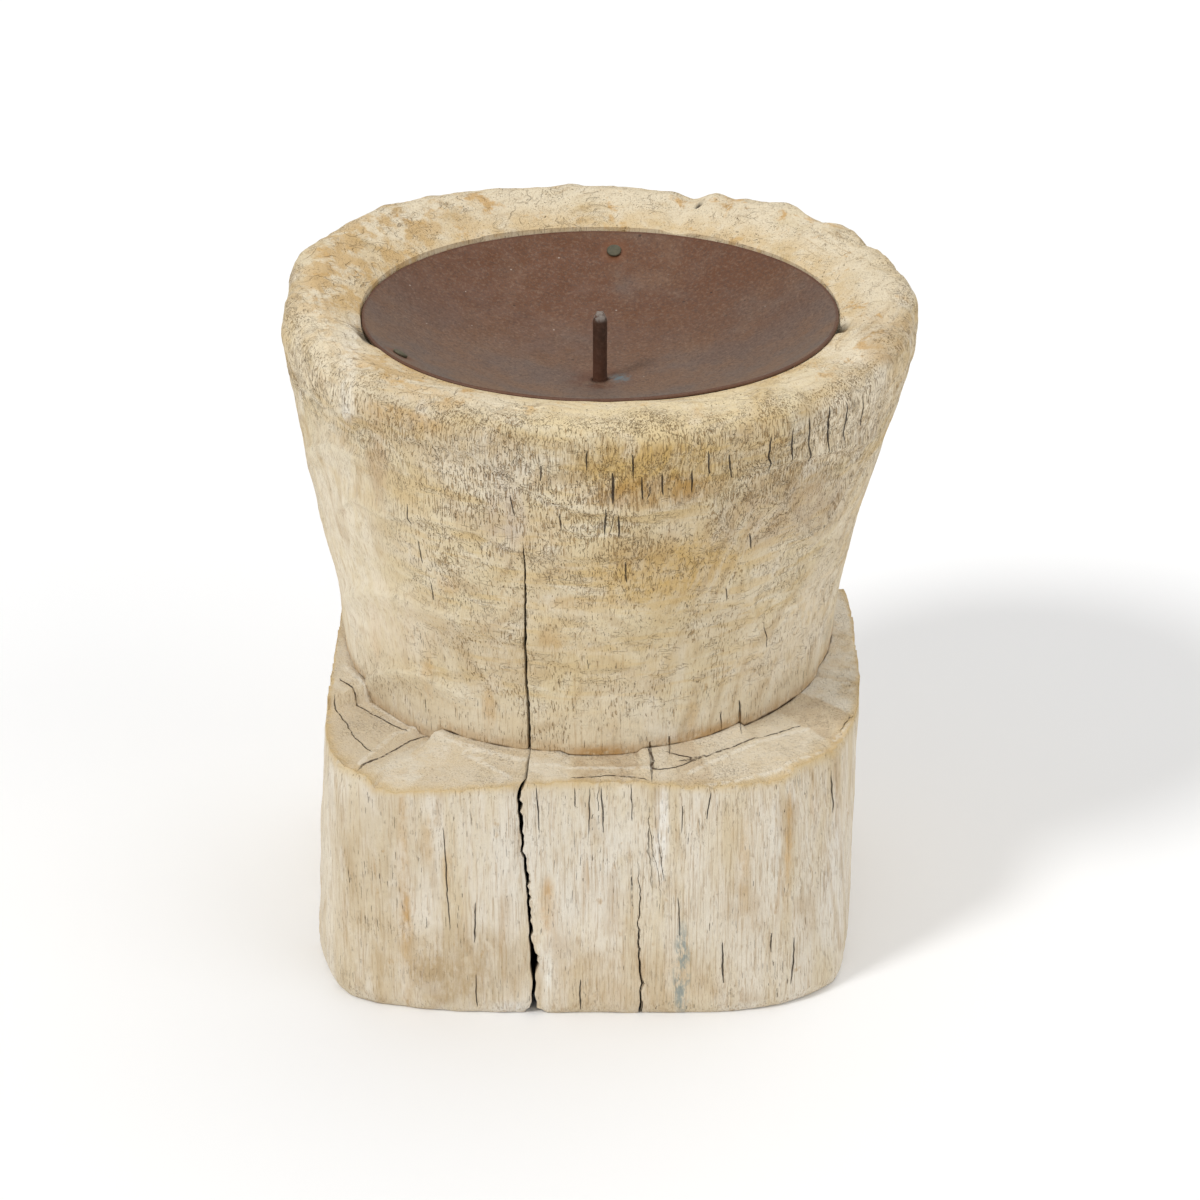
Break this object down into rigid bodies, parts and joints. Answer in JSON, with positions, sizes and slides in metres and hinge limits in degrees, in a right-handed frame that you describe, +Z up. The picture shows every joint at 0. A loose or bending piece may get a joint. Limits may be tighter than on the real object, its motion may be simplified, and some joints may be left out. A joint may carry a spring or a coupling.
{
  "type": "pricket candle stand",
  "caption": "Free-standing pricket candle stand: a hand-carved wooden mortar with a flaring round cup on a squarish base, and a dished iron plate with an upright spike in its mouth.",
  "frame": {"origin": "on the flat underside of the base, straight under the spike", "axes": "+Z up along the spike, -Y to the front, where the long crack runs, +X to the right seen from the front"},
  "size_m": [0.2102, 0.208, 0.2248],
  "materials": {
    "bleached_wood": "bleached, dry and weathered hardwood with upright grain, open pores and drying cracks",
    "rusted_sheet": "dished sheet iron, evenly brown with fine dry rust, redder towards the back",
    "spike_wire": "dark rust-brown steel wire, a little worn at the point",
    "weld_metal": "dark grey weld metal with light rust",
    "nail_iron": "dull grey-green iron nail head with a rusty edge"
  },
  "bodies": {
    "root": {"wood_block": "bleached_wood", "candle_dish": "rusted_sheet", "pricket_spike": "spike_wire", "spike_weld": "weld_metal", "nail_back": "nail_iron", "nail_front_left": "nail_iron", "nail_front_right": "nail_iron"}
  },
  "joints": []
}
